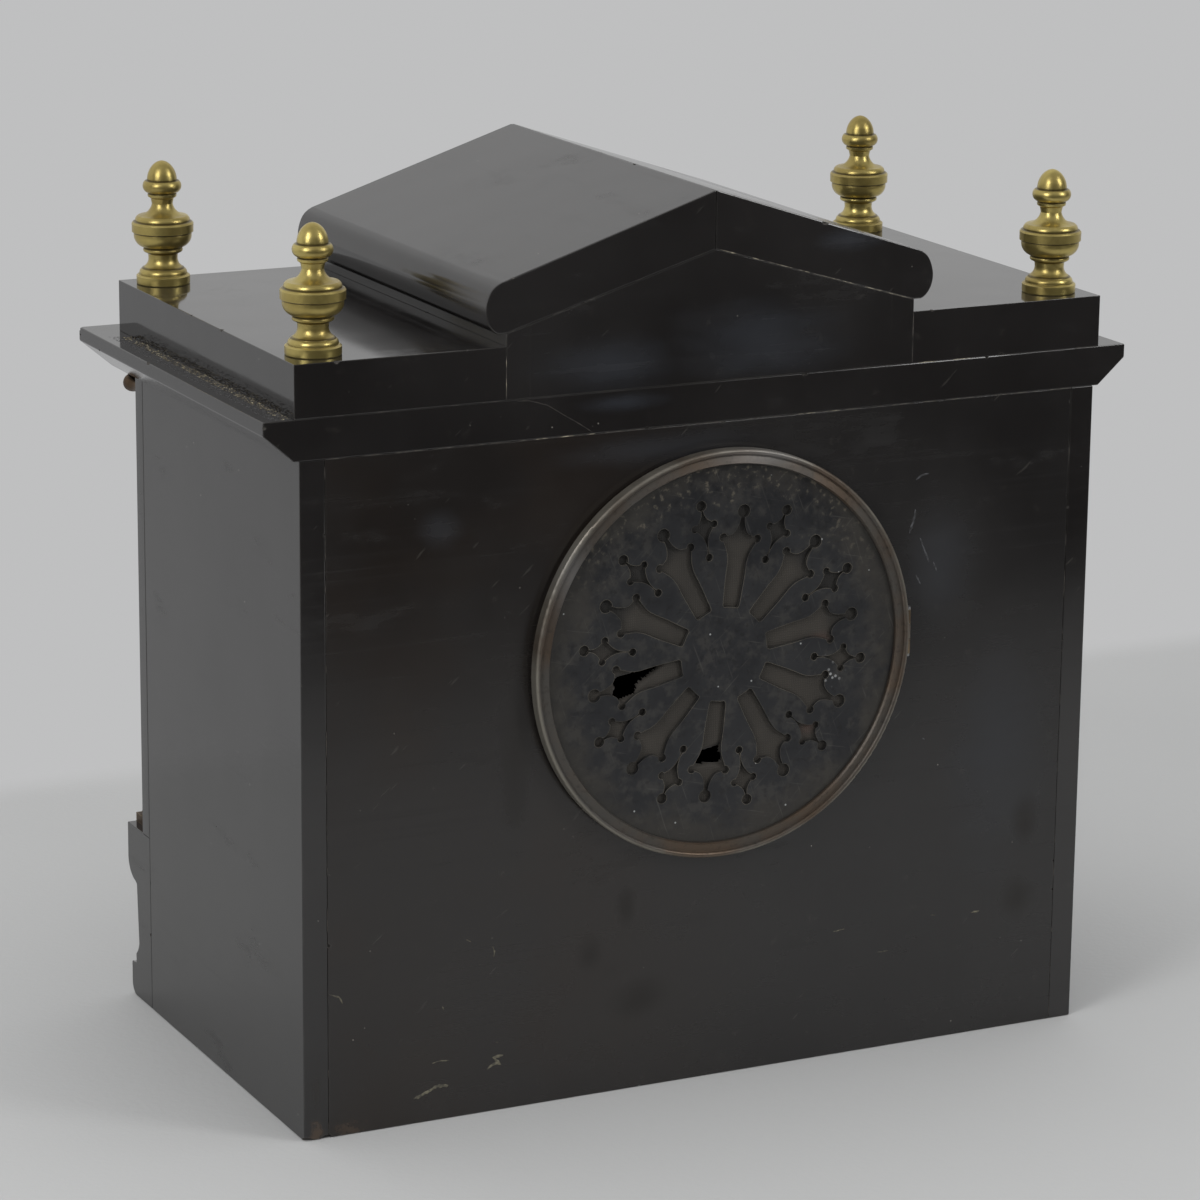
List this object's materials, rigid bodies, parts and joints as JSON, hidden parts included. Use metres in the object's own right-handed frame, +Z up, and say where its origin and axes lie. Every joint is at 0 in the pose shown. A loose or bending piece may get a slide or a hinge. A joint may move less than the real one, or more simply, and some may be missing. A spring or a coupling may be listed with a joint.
{
  "type": "mantel clock",
  "caption": "Temple-shaped slate mantel clock with brass urn finials, a hinged pierced back door, a hinged dial glass and a spring-driven striking pendulum movement.",
  "frame": {"origin": "middle of the flat underside of the body, on the surface that the clock stands on", "axes": "+Z up; -Y out of the dial, +Y out of the back door; +X to the viewer's left when seen from behind"},
  "size_m": [0.2816, 0.1551, 0.2703],
  "materials": {
    "slate": "polished",
    "finial_brass": "satin, aged",
    "brass": "satin",
    "bronze": "aged",
    "dark_bronze": "patinated",
    "plate_metal": "rubbed dark lacquer",
    "silk": "woven",
    "enamel": "gloss",
    "glass": "clear",
    "bell_metal": "polished",
    "steel": "satin",
    "blued_steel": "heat-blued, polished"
  },
  "bodies": {
    "case": {"left_side_slab": "slate", "right_side_slab": "slate", "front_slab": "slate", "back_slab": "slate", "base_slab": "slate", "front_plinth": "slate", "cornice_slab": "slate", "left_attic_block": "slate", "right_attic_block": "slate", "finials": "finial_brass", "gable_walls": "slate", "left_roof_slab": "slate", "right_roof_slab": "slate", "column_shafts": "slate", "column_bases": "dark_bronze", "column_capitals": "dark_bronze", "back_ring": "brass", "hinge_pins": "steel", "dial_ring": "brass", "dial_plate": "brass", "dial": "enamel", "case_straps": "brass", "strap_screws": "steel", "front_plate": "brass", "back_plate": "brass", "plate_pillars": "brass", "winding_clicks": "steel", "suspension_cock": "brass", "bell": "bell_metal", "bell_stand": "steel"},
    "back_door": {"door_ring": "bronze", "door_plate": "plate_metal", "door_silk": "silk"},
    "glass_door": {"glass_bezel": "bronze", "dial_glass": "glass"},
    "minute_work": {"centre_wheel": "brass", "cannon_pinion": "steel", "minute_hand": "blued_steel"},
    "hour_work": {"hour_wheel": "brass", "hour_hand": "blued_steel"},
    "minute_wheel": {"minute_wheel": "brass"},
    "going_barrel": {"going_barrel": "brass", "going_mainspring": "steel"},
    "going_second_wheel": {"going_second_wheel": "brass"},
    "third_wheel": {"third_wheel": "brass"},
    "escape_wheel": {"escape_wheel": "brass"},
    "anchor": {"anchor": "steel"},
    "pendulum": {"pendulum_rod": "brass", "pendulum_bob": "brass", "suspension_spring": "steel"},
    "going_winding_arbor": {"going_winding_arbor": "steel"},
    "strike_winding_arbor": {"strike_winding_arbor": "steel"},
    "strike_barrel": {"strike_barrel": "brass", "strike_mainspring": "steel"},
    "strike_second_wheel": {"strike_second_wheel": "brass", "count_wheel": "brass"},
    "pin_wheel": {"pin_wheel": "brass"},
    "locking_wheel": {"locking_wheel": "brass"},
    "fly": {"fly": "brass"},
    "hammer": {"hammer": "steel"}
  },
  "joints": [
    {"name": "back_door_hinge", "type": "hinge", "parent": "case", "child": "back_door", "pos_m": [-0.06591, 0.0673, 0.13251], "axis": [0, 0, 1], "range_deg": [0, 110]},
    {"name": "glass_hinge", "type": "hinge", "parent": "case", "child": "glass_door", "pos_m": [0.05861, -0.0673, 0.13251], "axis": [0, 0, 1], "range_deg": [0, 110]},
    {"name": "minute_turn", "type": "hinge", "parent": "case", "child": "minute_work", "pos_m": [0, -0.04, 0.13251], "axis": [0, 1, 0], "continuous": true},
    {"name": "hour_turn", "type": "hinge", "parent": "case", "child": "hour_work", "pos_m": [0, -0.04, 0.13251], "axis": [0, 1, 0], "continuous": true},
    {"name": "minute_wheel_turn", "type": "hinge", "parent": "case", "child": "minute_wheel", "pos_m": [0, -0.04, 0.12291], "axis": [0, 1, 0], "continuous": true},
    {"name": "going_barrel_turn", "type": "hinge", "parent": "case", "child": "going_barrel", "pos_m": [0.02, -0.04, 0.11651], "axis": [0, 1, 0], "continuous": true},
    {"name": "going_second_turn", "type": "hinge", "parent": "case", "child": "going_second_wheel", "pos_m": [0.01691, -0.04, 0.1374], "axis": [0, 1, 0], "continuous": true},
    {"name": "third_turn", "type": "hinge", "parent": "case", "child": "third_wheel", "pos_m": [-0.00284, -0.04, 0.14864], "axis": [0, 1, 0], "continuous": true},
    {"name": "escape_turn", "type": "hinge", "parent": "case", "child": "escape_wheel", "pos_m": [0, -0.04, 0.16106], "axis": [0, 1, 0], "continuous": true},
    {"name": "pendulum_swing", "type": "hinge", "parent": "case", "child": "pendulum", "pos_m": [0, -0.016, 0.17406], "axis": [0, 1, 0], "range_deg": [-3, 3]},
    {"name": "anchor_rock", "type": "hinge", "parent": "case", "child": "anchor", "pos_m": [0, -0.04, 0.17406], "axis": [0, 1, 0], "range_deg": [-3, 3]},
    {"name": "going_winding", "type": "hinge", "parent": "case", "child": "going_winding_arbor", "pos_m": [0.02, -0.04, 0.11651], "axis": [0, 1, 0], "continuous": true},
    {"name": "strike_winding", "type": "hinge", "parent": "case", "child": "strike_winding_arbor", "pos_m": [-0.02, -0.04, 0.11651], "axis": [0, 1, 0], "continuous": true},
    {"name": "pin_wheel_turn", "type": "hinge", "parent": "case", "child": "pin_wheel", "pos_m": [-0.0186, -0.04, 0.15122], "axis": [0, 1, 0], "continuous": true},
    {"name": "strike_barrel_turn", "type": "hinge", "parent": "case", "child": "strike_barrel", "pos_m": [-0.02, -0.04, 0.11651], "axis": [0, 1, 0], "continuous": true},
    {"name": "strike_second_turn", "type": "hinge", "parent": "case", "child": "strike_second_wheel", "pos_m": [-0.02367, -0.04, 0.13731], "axis": [0, 1, 0], "continuous": true},
    {"name": "locking_turn", "type": "hinge", "parent": "case", "child": "locking_wheel", "pos_m": [-0.01118, -0.04, 0.16006], "axis": [0, 1, 0], "continuous": true},
    {"name": "fly_turn", "type": "hinge", "parent": "case", "child": "fly", "pos_m": [-0.01505, -0.04, 0.16836], "axis": [0, 1, 0], "continuous": true},
    {"name": "hammer_lift", "type": "hinge", "parent": "case", "child": "hammer", "pos_m": [-0.04101, -0.04, 0.13051], "axis": [0, -1, 0], "range_deg": [0, 14], "stiffness_Nm_per_rad": 0.02, "springref_deg": -8.59}
  ],
  "couplings": [
    {"joint": "hour_turn", "follows": "minute_turn", "ratio": 0.083333},
    {"joint": "minute_wheel_turn", "follows": "minute_turn", "ratio": -0.33333},
    {"joint": "going_second_turn", "follows": "minute_turn", "ratio": -0.11111},
    {"joint": "going_barrel_turn", "follows": "minute_turn", "ratio": 0.015873},
    {"joint": "third_turn", "follows": "minute_turn", "ratio": -12},
    {"joint": "escape_turn", "follows": "minute_turn", "ratio": 144},
    {"joint": "anchor_rock", "follows": "pendulum_swing", "ratio": 1},
    {"joint": "strike_second_turn", "follows": "pin_wheel_turn", "ratio": -0.11111},
    {"joint": "strike_barrel_turn", "follows": "pin_wheel_turn", "ratio": 0.015873},
    {"joint": "locking_turn", "follows": "pin_wheel_turn", "ratio": -10},
    {"joint": "fly_turn", "follows": "pin_wheel_turn", "ratio": 77.143}
  ]
}
